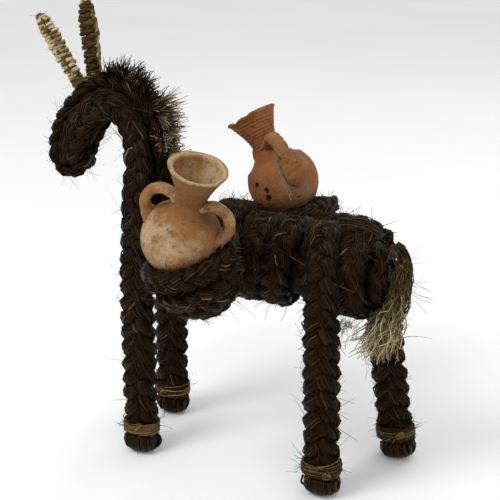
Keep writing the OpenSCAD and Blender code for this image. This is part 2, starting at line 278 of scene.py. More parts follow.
def fly(data, start, outward, tangent, length, radius, out=0.7, tone=None, points=6, bend=0.35):
    """Loose fibres from each start point, between outward and tangent: one way for all or one each."""
    count = len(start)
    outward, tangent = np.asarray(outward), np.asarray(tangent)
    way = unit(outward * out * rng.uniform(0.3, 1.2, (count, 1))
               + tangent * rng.choice([-1, 1], (count, 1)) * rng.uniform(0.4, 1.2, (count, 1))
               + rng.normal(0, 0.3, (count, 3)))
    size = rng.uniform(*length, (count, 1))
    curl = rng.normal(0, bend, (count, 3)) * size
    u = np.linspace(0, 1, points)
    paths = (start[:, None] + (way * size)[:, None] * u[None, :, None]
             + curl[:, None] * (u**2)[None, :, None])
    r = rng.uniform(*radius, (count, 1)) * (1 - 0.6 * u[None])
    tones = np.clip(rng.beta(2, 2.2, count) * 0.95, 0, 1) if tone is None else rng.uniform(*tone, count)
    data.tubes(paths, r, tones, sides=3)


def bundle(data, points, half_wide, half_deep, wide_way, fibres, fibre_r=0.8, tone=0.0):
    """Straw lying lengthwise round a straight or bent bundle."""
    p, s = points
    t = unit(np.gradient(p, axis=0))
    u = across(wide_way(t, p), t)
    v = np.cross(t, u)
    a, b = np.full(len(s), float(half_wide)), np.full(len(s), float(half_deep))
    # A near-black core fills the bundle and shows between the fibres as painted shade.
    data.tubes(p[None], 0.0, 0.03, sides=12, oval=(u[None], v[None], 0.88 * a[None], 0.88 * b[None]))
    turn = (np.arange(fibres) / fibres)[:, None] * 2 * np.pi + 0.01 * s[None] + 0.2 * wander(fibres, s)
    out = 0.97 + 0.05 * wander(fibres, s)
    paths = (p[None] + u[None] * (a * out * np.cos(turn))[..., None]
             + v[None] * (b * out * np.sin(turn))[..., None])
    data.tubes(paths, fibre_r * rng.uniform(0.7, 1.2, (fibres, 1)),
               np.clip(dark_tones(fibres)[:, None] + tone + 0.1 * wander(fibres, s), 0, 1))


def cord(data, p, radius, plies=2, twist=0.9, tone=(0.35, 0.9), sides=6, ends=0.6):
    """A twisted cord along the points p, which are evenly spaced."""
    s = np.r_[0, np.cumsum(np.linalg.norm(np.diff(p, axis=0), axis=1))]
    t = unit(np.gradient(p, axis=0))
    u = np.empty_like(p)
    u[0] = across(np.array([0.3, 0.5, 0.81]), t[0])
    for i in range(1, len(p)):
        u[i] = across(u[i - 1], t[i])
    v = np.cross(t, u)
    r = np.broadcast_to(radius, s.shape)
    angle = (np.arange(plies) / plies)[:, None] * 2 * np.pi + twist * s[None] / r.mean()
    off = 0.5 * r
    paths = p[None] + u[None] * (off * np.cos(angle))[..., None] + v[None] * (off * np.sin(angle))[..., None]
    taper = np.minimum(1, ends + np.minimum(s, s[-1] - s) / (2 * r.mean()))
    data.tubes(paths, 0.6 * r[None] * taper[None], rng.uniform(*tone, (plies, 1)) + 0.12 * wander(plies, s),
               sides=sides)


# ------------------------------------------------------------------ materials
def ramp(tree, source, stops):
    """A colour ramp fed by source."""
    node = tree.nodes.new("ShaderNodeValToRGB")
    els = node.color_ramp.elements
    while len(els) < len(stops):
        els.new(0.5)
    for el, (at, colour) in zip(els, stops):
        el.position = at
        el.color = (*colour, 1)
    tree.links.new(source, node.inputs[0])
    return node.outputs[0]


def texture(tree, coords, scale, detail, rough):
    """Noise, about 0.5 on average."""
    node = tree.nodes.new("ShaderNodeTexNoise")
    for key, value in (("Scale", scale), ("Detail", detail), ("Roughness", rough)):
        node.inputs[key].default_value = value
    tree.links.new(coords, node.inputs["Vector"])
    return node.outputs["Fac"]


def mixed(tree, factor, a, colour):
    """The colour a where factor is 0, and the fixed colour where it is 1."""
    node = tree.nodes.new("ShaderNodeMix")
    node.data_type = "RGBA"
    tree.links.new(factor, node.inputs["Factor"])
    tree.links.new(a, node.inputs["A"])
    node.inputs["B"].default_value = (*colour, 1)
    return node.outputs["Result"]


def tones_of(tree):
    """The tone that each vertex of a piece carries."""
    node = tree.nodes.new("ShaderNodeAttribute")
    node.attribute_name = "tone"
    return node.outputs["Fac"]


def maths(tree, operation, a, b, clamp=False):
    node = tree.nodes.new("ShaderNodeMath")
    node.operation = operation
    node.use_clamp = clamp
    for i, value in enumerate((a, b)):
        if hasattr(value, "is_linked"):
            tree.links.new(value, node.inputs[i])
        else:
            node.inputs[i].default_value = value
    return node.outputs[0]


def bumps(tree, height, strength, distance, previous=None):
    node = tree.nodes.new("ShaderNodeBump")
    node.inputs["Strength"].default_value = strength
    node.inputs["Distance"].default_value = distance
    tree.links.new(height, node.inputs["Height"])
    if previous:
        tree.links.new(previous, node.inputs["Normal"])
    return node.outputs[0]


def new_material(name):
    mat = bpy.data.materials.new(name)
    mat.use_nodes = True
    tree = mat.node_tree
    shader = tree.nodes["Principled BSDF"]
    coords = tree.nodes.new("ShaderNodeTexCoord").outputs["Object"]
    return mat, tree, shader, coords


def straw_material(name, stops, rough=0.62, specular=0.2, fleck=0.34):
    """Straw whose colour follows each fibre's tone, mottled along it."""
    mat, tree, shader, coords = new_material(name)
    mottle = maths(tree, "SUBTRACT", texture(tree, coords, 260, 5, 0.65), 0.5)
    value = maths(tree, "ADD", tones_of(tree), maths(tree, "MULTIPLY", mottle, fleck), True)
    tree.links.new(ramp(tree, value, stops), shader.inputs["Base Color"])
    grain = texture(tree, coords, 1500, 3, 0.6)
    rough_map = ramp(tree, grain, [(0.3, (rough - 0.14,) * 3), (0.7, (rough + 0.16,) * 3)])
    tree.links.new(rough_map, shader.inputs["Roughness"])
    tree.links.new(bumps(tree, grain, 0.5, 0.0004), shader.inputs["Normal"])
    shader.inputs["Specular IOR Level"].default_value = specular
    shader.inputs["Specular Tint"].default_value = (*srgb(236, 190, 140), 1)
    return mat


def srgb(r, g, b):
    return tuple((c / 255 / 12.92) if c < 10.3 else ((c / 255 + 0.055) / 1.055) ** 2.4 for c in (r, g, b))


dark_straw = straw_material("dark_straw", fleck=0.5, stops=[
    (0.0, srgb(4, 2, 1)), (0.22, srgb(13, 8, 5)), (0.45, srgb(30, 19, 11)), (0.66, srgb(56, 39, 23)),
    (0.84, srgb(90, 69, 43)), (1.0, srgb(140, 118, 82))], rough=0.42, specular=0.26)
core_straw = straw_material("core_straw", [
    (0.0, srgb(6, 4, 2)), (0.5, srgb(26, 17, 10)), (1.0, srgb(66, 48, 29))])
mane_straw = straw_material("mane_straw", [
    (0.0, srgb(8, 5, 3)), (0.3, srgb(34, 21, 13)), (0.55, srgb(82, 66, 48)), (0.75, srgb(126, 112, 88)),
    (1.0, srgb(172, 160, 134))])
tail_straw = straw_material("tail_straw", [
    (0.0, srgb(10, 7, 4)), (0.3, srgb(40, 31, 18)), (0.6, srgb(96, 82, 52)), (0.8, srgb(146, 132, 94)),
    (1.0, srgb(204, 194, 160))],
    rough=0.5)
ear_cord = straw_material("ear_cord", [
    (0.0, srgb(22, 15, 7)), (0.35, srgb(62, 47, 24)), (0.6, srgb(104, 86, 52)), (0.82, srgb(150, 135, 98)),
    (1.0, srgb(196, 184, 150))], rough=0.7)
tie_straw = straw_material("tie_straw", [
    (0.0, srgb(12, 8, 5)), (0.45, srgb(46, 33, 19)), (0.8, srgb(92, 70, 42)), (1.0, srgb(150, 124, 86))],
    rough=0.5)


def clay_material(name, body, slip, dirt, slip_at=0.5):
    """Fired clay with pale slip patches and specks: the slip sits where tone is high, low tones
    get painted shade, and a tone below nought gets the painted shade of a pit."""
    mat, tree, shader, coords = new_material(name)
    tone = tones_of(tree)
    base = ramp(tree, texture(tree, coords, 38, 3, 0.55), list(zip((0.25, 0.5, 0.75), body)))
    lift = maths(tree, "MULTIPLY", maths(tree, "SUBTRACT", tone, 0.5), 0.55)
    patch = maths(tree, "ADD", texture(tree, coords, 95, 7, 0.72), lift)
    mask = ramp(tree, patch, [(slip_at - 0.07, (0, 0, 0)), (slip_at + 0.13, (0.85, 0.85, 0.85))])
    slipped = mixed(tree, mask, base, slip)
    specks = ramp(tree, texture(tree, coords, 620, 2, 0.5), [(0.30, (1, 1, 1)), (0.39, (0, 0, 0))])
    stain = texture(tree, coords, 190, 6, 0.7)
    stains = ramp(tree, stain, [(0.56, (0, 0, 0)), (0.76, (0.6, 0.6, 0.6))])
    dirty = maths(tree, "MAXIMUM", maths(tree, "MULTIPLY", specks, 0.55), stains)
    # Low tones darken the colour: painted shade.
    shaded = tree.nodes.new("ShaderNodeVectorMath")
    shaded.operation = "MULTIPLY"
    tree.links.new(mixed(tree, dirty, slipped, dirt), shaded.inputs[0])
    tree.links.new(ramp(tree, tone, [(0.0, (0.45,) * 3), (0.38, (1.0,) * 3)]), shaded.inputs[1])
    # Tones below nought blend to near black: painted shade in the pits.
    pit = maths(tree, "MULTIPLY", tone, -1.0, True)
    pit_shaded = mixed(tree, pit, shaded.outputs["Vector"], srgb(24, 14, 9))
    tree.links.new(pit_shaded, shader.inputs["Base Color"])
    grit = texture(tree, coords, 900, 4, 0.7)
    grainy = bumps(tree, grit, 0.45, 0.0005, bumps(tree, stain, 0.5, 0.0012))
    tree.links.new(grainy, shader.inputs["Normal"])
    tree.links.new(ramp(tree, grit, [(0.3, (0.62,) * 3), (0.7, (0.86,) * 3)]), shader.inputs["Roughness"])
    shader.inputs["Specular IOR Level"].default_value = 0.12
    return mat


near_clay = clay_material("near_clay", [srgb(110, 66, 36), srgb(136, 92, 54), srgb(148, 109, 70)],
                          srgb(172, 152, 118), srgb(52, 40, 28))
far_clay = clay_material("far_clay", [srgb(112, 62, 31), srgb(140, 88, 48), srgb(136, 98, 64)],
                         srgb(140, 120, 96), srgb(38, 24, 15), slip_at=0.58)


def metal_material():
    mat, tree, shader, coords = new_material("leg_wire_steel")
    shader.inputs["Metallic"].default_value = 1.0
    grain = texture(tree, coords, 700, 4, 0.6)
    greys = [(0.3, (0.25, 0.24, 0.23)), (0.7, (0.46, 0.46, 0.47))]
    tree.links.new(ramp(tree, grain, greys), shader.inputs["Base Color"])
    tree.links.new(ramp(tree, grain, [(0.3, (0.3,) * 3), (0.7, (0.55,) * 3)]), shader.inputs["Roughness"])
    return mat


def thread_material():
    mat, tree, shader, coords = new_material("thread_nylon")
    grain = texture(tree, coords, 900, 3, 0.5)
    pale = [(0.3, srgb(92, 84, 68)), (0.7, srgb(136, 126, 106))]
    tree.links.new(ramp(tree, grain, pale), shader.inputs["Base Color"])
    shader.inputs["Roughness"].default_value = 0.35
    return mat


wire_steel = metal_material()
thread_nylon = thread_material()

# ------------------------------------------------------------------ legs, neck and head
side_y = 10.0
fore = {"near": ([-70, -30, 0], [-73, -25, 150]), "far": ([-80, 33, 0], [-75, 25, 150])}
hind = {"near": ([66, -30, 0], [65, -34, 118]), "far": ([97, 38, 0], [81, 34, 118])}
leg_w, leg_t = 24.5, 17.0
tie_h = 20.0


def leg_point(ends, z):
    a, b = np.array(ends[0], float), np.array(ends[1], float)
    return a + (b - a) * z / (b[2] - a[2])


def hoof(data, ends):
    """The folded end of a leg's braid: strands go down one side, under the foot and up the other."""
    foot = leg_point(ends, 0)
    up = unit(leg_point(ends, 100) - foot)
    wide = across(X, up)
    deep = np.cross(up, wide)
    offs = np.linspace(-0.93, 0.93, 26) + rng.normal(0, 0.02, 26)
    beta = np.radians(np.linspace(-128, 128, 17))
    r_w, r_d, high = 12.2, 10.6, 9.0
    rows = []
    for layer in (1.0, 0.86):
        for o in offs:
            rho = math.sqrt(max(0.05, 1 - o * o))
            swing = rng.normal(0, 0.06)
            x = (o + swing * np.sin(beta)) * r_w * layer * np.where(np.abs(beta) > 1.6, 0.95, 1)
            y = rho * r_d * layer * np.sin(beta) * (1 + 0.02 * rng.normal())
            z = high - (high - 0.7) * rho**0.5 * np.cos(beta) * (1 if layer == 1 else 0.9)
            rows.append(foot + x[:, None] * wide + y[:, None] * deep + z[:, None] * up)
    paths = np.array(rows)
    tones = np.clip(dark_tones(len(paths)) + 0.02, 0, 1)
    data.tubes(paths, rng.uniform(0.6, 1.05, (len(paths), 1)), tones)
    # A near-black core fills the fold and shows between the fibres as painted shade.
    core = np.array([foot + up * z for z in (1.2, 2.5, 5, 9, 14, 17)])[None]
    size = np.array([[6, 9.4, 11, 11.4, 10.4, 9.5]])
    flat = np.broadcast_to(wide, core.shape), np.broadcast_to(deep, core.shape)
    data.tubes(core, 0.0, 0.03, sides=14, oval=(*flat, size, size * 0.84))


def side_way(t, p):
    """The wide side of a braid that lies in a plane of constant y."""
    return np.cross(np.broadcast_to(Y, t.shape), t)


def hind_way(t, p):
    return np.broadcast_to(X, t.shape)


def width_way(t, p):
    return np.broadcast_to(Y, t.shape)


neck_side = [[-75, -19, 176], [-76, -13, 200], [-79, -side_y, 222], [-86.5, -side_y, 235],
             [-97, -side_y, 241.5], [-107, -side_y, 240], [-119, -side_y, 229.5], [-128.5, -side_y, 214],
             [-133.5, -side_y + 1.5, 203], [-135, -side_y + 3, 196]]
crest_line = [[-56, 0, 182], [-60, 0, 198], [-63, 0, 213], [-67, 0, 229], [-75, 0, 243], [-87, 0, 252.5],
              [-100, 0, 256], [-112.5, 0, 254], [-129.7, 0, 240], [-141.5, 0, 222.8], [-146, 0, 204],
              [-141.5, 0, 192.5], [-133, 0, 190.5], [-126, 0, 197], [-122, 0, 206]]

for name, sign in (("near", 1), ("far", -1)):
    leg = [leg_point(fore[name], z) for z in (8, 50, 95, 135)]
    upper = [[x, sign * y, z] for x, y, z in neck_side]
    data = Straw()
    line = curve(leg + upper, 2.8)
    profile_w = [leg_w, leg_w, leg_w, leg_w, leg_w * 0.96, 22.5, 21.5, 21.5, 21.5, 21, 19]
    profile_t = [leg_t, leg_t, leg_t, leg_t, 15.5, 11.5, 10, 9.6, 9.6, 9.6, 9]
    fr = braid(data, line, profile_w, profile_t, side_way, pitch=33, fibres=28, phase=0.1,
               ends=(1.0, 0.72), lift=0.05)
    hoof(data, fore[name])
    strays(data, fr, 150, length=(5, 16))
    finish_piece(f"{name}_side_braid", data, dark_straw,
                 (f"{name}_foreleg", f"{name}_neck_braid", f"{name}_cheek_braid"))

crest_w = [20, 23, 24, 24, 24, 24, 24, 24, 22, 19]
crest_t = [10, 10, 10, 10, 10, 10, 10.4, 10.4, 10]
data = Straw()
fr = braid(data, curve(crest_line, 2.7), crest_w, crest_t, width_way, pitch=31, fibres=26, phase=0.3,
           ends=(0.8, 0.7), lift=0.05)
strays(data, fr, 130, length=(5, 14))
finish_piece("crest_and_face_braid", data, dark_straw, ("crest_braid", "face_braid"))

# The straw between the side braids
data = Straw()
bundle(data, curve([[-75, 0, 153], [-75, 0, 180], [-76, 0, 203], [-79, 0, 220], [-86, 0, 233]], 3), 8.5, 6,
       side_way, 34)
finish_piece("neck_core_straw", data, core_straw, ("neck_core",))
data = Straw()
bundle(data, curve([[-84, 0, 232], [-97, 0, 242], [-107, 0, 240], [-119, 0, 229.5], [-128.5, 0, 215],
                    [-133.5, 0, 204]], 3), 9.2, 6, side_way, 34)
throat = np.array([[-78, y, 206 + z] for y in np.linspace(-9, 9, 12) for z in (0, 6, 12)], float)
fly(data, throat, [-0.9, 0, -0.4], [0, 0.2, -1.0], (6, 17), (0.18, 0.34))
finish_piece("head_core_straw", data, core_straw, ("head_core",))

# ------------------------------------------------------------------ rump braid and hind legs
rump_x = (front_end + rear_start) / 2
arc = []
for a in np.radians(np.arange(0, 181, 15)):
    leg_x = hind["near"][1][0] if a < math.pi / 2 else hind["far"][1][0]
    r = body_r - wrap_t / 2 + 9.2 * abs(math.cos(a)) ** 0.6
    arc.append([rump_x + (leg_x - rump_x) * math.cos(a) ** 2, -r * math.cos(a), body_z + r * math.sin(a)])
line = curve([leg_point(hind["near"], z) for z in (8, 45, 85, 118)] + [[65, -35, 132]] + arc[1:-1]
             + [[81, 35, 132]] + [leg_point(hind["far"], z) for z in (118, 85, 45, 8)], 2.8)
data = Straw()
fr = braid(data, line, [leg_w, leg_w, leg_w, leg_w, 23, 22, 22, 23, leg_w, leg_w, leg_w, leg_w],
           [leg_t, leg_t, leg_t, 16, 11, 9.5, 9.5, 11, 16, leg_t, leg_t, leg_t], hind_way, pitch=33,
           fibres=28, phase=0.45, lift=0.05)
hoof(data, hind["near"])
hoof(data, hind["far"])
strays(data, fr, 260, length=(5, 16))
finish_piece("rump_and_hindleg_braid", data, dark_straw, ("near_hindleg", "far_hindleg", "rump_braid"))

# ------------------------------------------------------------------ ankle ties
for name, ends in (("near_fore", fore["near"]), ("far_fore", fore["far"]), ("near_hind", hind["near"]),
                   ("far_hind", hind["far"])):
    data = Straw()
    up = unit(leg_point(ends, 100) - leg_point(ends, 0))
    wide = across(X, up)
    deep = np.cross(up, wide)
    middle = leg_point(ends, tie_h)
    for k in range(16):
        a = np.linspace(0, 2 * np.pi * rng.uniform(1.6, 2.8), 60) + rng.uniform(0, 6.3)
        rise = np.linspace(-1, 1, 60) * rng.uniform(1.5, 4.6) + rng.normal(0, 1.1)
        rise += rng.uniform(0, 1.4) * np.sin(a + k)
        r = 1 + rng.uniform(-0.03, 0.09)
        p = (middle + np.outer(np.cos(a) * 12.6 * r, wide) + np.outer(np.sin(a) * 9.6 * r, deep)
             + np.outer(rise + 0.4 * np.sin(a * 1.7 + k), up))
        data.tubes(p[None], rng.uniform(0.3, 0.7), rng.uniform(0.15, 1.0))
    knot_at = middle + wide * rng.uniform(-5, 9) - deep * 9.6 + up * rng.uniform(-1.5, 1.5)
    for k in range(3):
        b = np.linspace(0, 2 * np.pi * 1.3, 34) + 2.1 * k
        p = (knot_at + np.outer(2.4 * np.cos(b), wide) + np.outer(1.5 * np.sin(b) * np.cos(b * 0.4), deep)
             + np.outer(2.6 * np.sin(b + 0.7 * k), up))
        data.tubes(p[None], rng.uniform(0.6, 0.9), rng.uniform(0.4, 0.95))
    turn = rng.uniform(0, 2 * np.pi, (60, 1))
    outward = np.cos(turn) * wide + np.sin(turn) * deep
    ends_at = (middle + np.cos(turn) * wide * 12.2 + np.sin(turn) * deep * 9.2
               + up * rng.uniform(-3, 3, (60, 1)))
    fly(data, ends_at, outward, np.cross(up, outward) + up * 0.6, (3, 9), (0.12, 0.32), tone=(0.3, 1.0))
    finish_piece(f"{name}_raffia_tie", data, tie_straw, (f"{name}_tie",))


# ------------------------------------------------------------------ body
def turn_line(x0, x1, turns, start_angle):
    """Turns of braid round the body, level where they start and end."""
    a = np.linspace(0, 1, int(110 * turns))
    level = 0.45 / turns
    go = np.clip((a - level) / (1 - 2 * level), 0, 1)
    x = x0 + (x1 - x0) * go
    angle = start_angle + a * turns * 2 * np.pi
    r = body_r - wrap_t / 2 + 0.35 * np.sin(angle * 1.37)
    return even(np.stack([x, r * np.sin(angle), body_z + r * np.cos(angle)], 1), 2.7)


def coil_line(x_of, r0, r1, turns, start_angle):
    a = np.linspace(0, 1, int(110 * turns))
    r = r0 + (r1 - r0) * a
    angle = start_angle + a * turns * 2 * np.pi
    return even(np.stack([x_of(r), r * np.sin(angle), body_z + r * np.cos(angle)], 1), 2.5)


data = Straw()
half = wrap_pitch / 2 + 0.3
fr = braid(data, turn_line(body_front + half, front_end - half, 5.0, math.radians(150)), 21.0, 9.4, hind_way,
           pitch=31, fibres=26, phase=0.2, ends=(0.8, 0.8), lift=0.06)
strays(data, fr, 290, length=(5, 17))
finish_piece("body_front_wrap_braid", data, dark_straw, ("body_wrap",))
data = Straw()
under = coil_line(lambda r: rump_x + 0 * r, body_r - 7.5, body_r - 7.5, 1.02, 0.4)
fr3 = braid(data, under, 25.0, 8.6, hind_way, pitch=31, fibres=26, phase=0.5)
strays(data, fr3, 90, length=(5, 17))
rear = turn_line(rear_start + half - 1.5, body_back - half + 1.0, 1.6, math.radians(170))
fr2 = braid(data, rear, 20.0, 9.4, hind_way, pitch=31, fibres=26, phase=0.7, ends=(0.8, 0.8), lift=0.06)
strays(data, fr2, 160, length=(5, 17))
finish_piece("body_rear_wrap_braid", data, dark_straw, ("body_wrap",))


def radial_way(t, p):
    return np.stack([0 * p[:, 0], p[:, 1], p[:, 2] - body_z], 1)


data = Straw()
chest = coil_line(lambda r: body_front - 3.4 + 0 * r, 17.0, 4.0, 1.9, 2.5)
fr = braid(data, chest, 12.5, 6.4, radial_way, pitch=24, fibres=18, ends=(0.7, 0.6))
strays(data, fr, 60, length=(4, 10))
finish_piece("chest_coil_braid", data, dark_straw, ("chest_coil",))
data = Straw()
rump = coil_line(lambda r: body_back + 4.4 + 4.2 * np.clip(1 - r / 18, 0, 1), 17.5, 4.0, 1.9, 1.0)
fr = braid(data, rump, 13.5, 9.0, radial_way, pitch=26, fibres=20, ends=(0.7, 0.6))
strays(data, fr, 80, length=(4, 12))
finish_piece("rump_coil_braid", data, dark_straw, ("rump_coil",))

# ------------------------------------------------------------------ mane
data = Straw()
path, s = curve(crest_line[:8], 1.0)
t = unit(np.gradient(path, axis=0))
outward = np.cross(t, Y)
outward *= np.sign((outward * (path - np.array([-95, 0, 205]))).sum(1))[:, None]
count = 1700
i = (np.sqrt(rng.random(count)) * 0.1 + rng.random(count) * 0.9)
i = np.clip((i * 0.93 + 0.02) * len(path), 0, len(path) - 1).astype(int)
v = rng.uniform(-6.5, 6.5, (count, 1))
start = path[i] + outward[i] * 3.2 + Y * v
along_share = i / len(path)
tuft = (i // 7) * 3 + (v[:, 0] // 4.5).astype(int) + 6
tuft_way = rng.normal(0, 0.36, (tuft.max() + 1, 3))
tuft_size = rng.uniform(0.5, 1.22, tuft.max() + 1)
way = unit(outward[i] + Y * v * 0.05 - t[i] * rng.normal(0.25, 0.15, (count, 1)) + tuft_way[tuft]
           + rng.normal(0, 0.13, (count, 3)))
size = tuft_size[tuft][:, None] * rng.uniform(8.5, 13.0, (count, 1))
size *= 1 - 0.25 * (along_share[:, None] < 0.12)
u = np.linspace(0, 1, 5)
curl = rng.normal(0, 0.17, (count, 3)) * size
paths = start[:, None] + (way * size)[:, None] * u[None, :, None] + curl[:, None] * (u**2)[None, :, None]
pale = np.interp(along_share, [0, 0.12, 0.25, 0.5, 0.66, 0.86, 0.94, 1],
                 [0.3, 0.55, 0.85, 0.8, 0.28, 0.2, 0.6, 0.7])
pale = pale + rng.normal(0, 0.2, count) + rng.normal(0, 0.14, tuft.max() + 1)[tuft]
tones = np.clip(pale[:, None] * (0.25 + 0.7 * u), 0, 1)
data.tubes(paths, rng.uniform(0.2, 0.42, (count, 1)) * (1 - 0.45 * u[None]), tones, sides=3)
finish_piece("cropped_mane", data, mane_straw, ("mane",))

# ------------------------------------------------------------------ ears
ears = {"near": ([-122, -9, 252.5], [-28, -3, 47]), "far": ([-122, 9, 254], [-5, 1, 50])}
ear_len = 53.0
for name, (foot, way) in ears.items():
    m = along(way)
    foot = np.array(foot, float)
    data = Straw()
    turns = 15.5
    a = np.linspace(0, turns, int(turns * 26))
    h = 4.6 + (ear_len - 6.5) * a / turns
    r = np.interp(h, [4, 10, 22, 34, 44, 50, 53], [3.0, 3.5, 3.9, 4.3, 4.0, 2.7, 1.5])
    bulge = 1 + 0.10 * np.sin(a * 2 * np.pi * 0.37 + 1) + 0.07 * np.sin(a * 2 * np.pi + np.sin(a * 1.9))
    wave = 0.5 * np.sin(a * 2.3) + 0.8 * np.sin(a * 2 * np.pi + 0.8)
    h = h + wave * np.clip((turns - a) / 2, 0, 1) * np.clip(a, 0, 1)
    p, _ = even(foot + round_z(r * bulge, a * 2 * np.pi, h) @ m.T, 0.9)
    uneven = wander(1, np.arange(len(p)) * 0.9, ((0.03, 1.0), (0.09, 0.8)))[0]
    cord(data, p, 1.75 + 0.4 * uneven, twist=0.9, plies=3,
         tone=(0.12, 0.62) if name == "far" else (0.42, 0.98))
    knots = 13 if name == "far" else 8
    for k in range(knots):
        hk = 8 + (ear_len - 14) * k / (knots - 1)
        ang = math.radians(10 if name == "far" else -60) + rng.normal(0, 0.18)
        rk = np.interp(hk, [4, 22, 34, 48], [3.6, 4.4, 4.7, 3.2])
        at = np.array([rk * math.cos(ang), rk * math.sin(ang), hk])
        b = np.linspace(0, 2 * np.pi * 1.15, 26)
        big = (2.1 if name == "far" else 1.3) * rng.uniform(0.8, 1.15)
        loop = at + np.stack([0.6 * big * np.cos(b) * math.cos(ang),
                              0.6 * big * np.cos(b) * math.sin(ang) + 0.8 * np.sin(b * 0.5),
                              1.5 * big * np.sin(b)], 1)
        p, _ = even(foot + loop @ m.T, 0.7)
        cord(data, p, 1.15 * big**0.5, twist=0.7, tone=(0.3, 0.8))
    b = np.linspace(0, 2 * np.pi * 1.6, 40)
    tip = np.stack([1.9 * np.cos(b), 1.5 * np.sin(b), ear_len - 2.2 + 1.3 * np.sin(b * 0.8)], 1)
    p, _ = even(foot + tip @ m.T, 0.7)
    cord(data, p, 1.75)
    around = rng.uniform(0, 2 * np.pi, 26)
    out_way = round_z(1, around, 0 * around)
    fly(data, foot + (out_way * 4.0 + Z * rng.uniform(4, ear_len - 10, (26, 1))) @ m.T, out_way @ m.T,
        m @ Z, (3, 8), (0.08, 0.16), tone=(0.3, 0.9))
    tips = np.tile(foot + m @ np.array([0, 0, ear_len - 2.0]), (7, 1))
    fly(data, tips, m @ Z, m @ X, (2.5, 5), (0.2, 0.35), tone=(0.4, 1))
    finish_piece(f"{name}_ear_cord", data, ear_cord, (f"{name}_ear_wrap",))

data = Straw()
for name, (foot, way) in ears.items():
    m = along(way)
    a = np.linspace(0, 3.2, 80)
    p, _ = even(np.array(foot) + round_z(3.7, a * 2 * np.pi, -0.6 + 1.75 * a) @ m.T, 0.9)
    cord(data, p, 1.2, tone=(0.2, 0.8))
cross = np.array([[-121, -12, 253.5], [-119, -6, 256.5], [-117.5, 0, 257.5], [-119, 6, 257], [-121, 12, 255]])
p, _ = curve(cross, 0.9)
cord(data, p, 1.1, tone=(0.2, 0.8))
finish_piece("poll_cord_lashing", data, ear_cord, ("poll_lashing",))

# ------------------------------------------------------------------ tail
root_at = np.array([body_back + 12.0, 0, body_z + 18])
data = Straw()
b = np.linspace(0, 2 * np.pi * 2.6, 90)
p = root_at + np.stack([1.5 * np.cos(b), 1.9 * np.sin(b) * np.cos(b * 0.37),
                        1.9 * np.sin(b * 0.61) * np.sin(b)], 1)
cord(data, even(p, 0.7)[0], 1.0)
finish_piece("tail_cord_knot", data, tie_straw, ("tail_knot",), "tail_knot")

tail_line = root_at + np.array([[1, 0, 2.5], [4.5, 0, 0], [7, 0, -6], [7.3, 0, -14], [6.6, 0, -24],
                                [2.5, -2, -42], [-4, -6, -58], [-10, -8.5, -72]])
data = Straw()
path, s = curve(tail_line, 4.0)
t = unit(np.gradient(path, axis=0))
uu = across(np.tile([0.3, 1.0, 0.0], (len(t), 1)), t)
vv = np.cross(t, uu)
count = 330
u = s / s[-1]
angle = rng.uniform(0, 2 * np.pi, (count, 1)) + 0.8 * wander(count, s)
rad = np.sqrt(rng.random((count, 1))) * (1 + 0.5 * wander(count, s, ((0.04, 1.0), (0.11, 0.6))) * (0.4 + u))
grow_w, grow_d = 2.8 + 9.5 * u**0.9, 2.6 + 6.5 * u**0.9
paths = (path[None] + uu[None] * (rad * grow_w * np.cos(angle))[..., None]
         + vv[None] * (rad * grow_d * np.sin(angle))[..., None])
cut = rng.uniform(0.72, 1.0, count)
for k in range(count):
    idx = np.linspace(0, cut[k] * (len(s) - 1), len(s))
    paths[k] = np.stack([np.interp(idx, np.arange(len(s)), paths[k][:, c]) for c in range(3)], 1)
fan = np.clip((u - 0.45) / 0.55, 0, 1) ** 1.4
paths += fan[None, :, None] * rng.normal(0, 1, (count, 1, 3)) * [5.5, 3.5, 2.0]
thin = rng.uniform(0.2, 0.5, (count, 1)) * (1 - 0.35 * u[None])
tones = 0.75 * rng.beta(2.0, 2.0, (count, 1)) + 0.12 * wander(count, s) + 0.62 * u**1.3 - 0.12
data.tubes(paths, thin, np.clip(tones, 0, 1))
at = path[rng.integers(3, len(path), 150)] + rng.normal(0, 2.6, (150, 3))
fly(data, at, [0.8, -0.2, -0.35], [0.0, 0.1, 1.0], (5, 12), (0.09, 0.2), tone=(0.2, 0.9), bend=0.4,
    points=8)
for k in range(7):
    z0, z1 = rng.uniform(-34, -18), rng.uniform(-34, -16)
    pts = root_at + np.array([[6, 0, z0], [12, -1.5, z0 + 0.6 * (z1 - z0) + 2],
                              [19, -3, z0 + 0.9 * (z1 - z0)],
                              [rng.uniform(23, 28), rng.uniform(-8, 0), z1 + rng.uniform(-4, 4)]])
    data.tubes(curve(pts, 3.0)[0][None], rng.uniform(0.09, 0.16), rng.uniform(0.15, 0.5), sides=3)
finish_piece("tail_loose_straw", data, tail_straw, ("tail_tassel",), "tail")

data = Straw()
a = np.linspace(0, 3.2, 90)
mid = root_at + np.array([7.2, 0, -9.0])
p, _ = even(mid + round_z(3.5, a * 2 * np.pi, 1.4 - 1.7 * a), 0.9)
cord(data, p, 1.05)
finish_piece("tail_cord_binding", data, tie_straw, ("tail_binding",), "tail")

# Pale loose straws on top of the rump, and a pale bunch of them behind the near hind leg
data = Straw()
for k in range(20):
    y0, lift = rng.normal(0, 3.2), rng.uniform(0.2, 2.4)
    x0 = rng.uniform(58, 76)
    pts = [[x0, y0 * 2.2, body_z + 31.0 + lift - (y0 * 2.2) ** 2 / 66],
           [x0 + 8, y0 * 1.6, body_z + 31.3 + lift],
           [85, y0 * 1.2, body_z + 29.5 + lift * 0.6], [90.5, y0 * 0.7, body_z + 26 + lift * 0.5]]
    data.tubes(curve(pts, 3.5)[0][None], rng.uniform(0.2, 0.42), rng.uniform(0.0, 0.5))
count = 140
at = np.array([77.0, -24.0, body_z - 27]) + rng.normal(0, 1, (count, 3)) * [4.0, 3.0, 2.0]
fly(data, at, [0.2, -0.5, -0.9], [0.4, 0.1, 0.5], (4, 10), (0.07, 0.16), tone=(0.35, 1.0), bend=0.4)
finish_piece("rump_pale_straw", data, tail_straw, ())

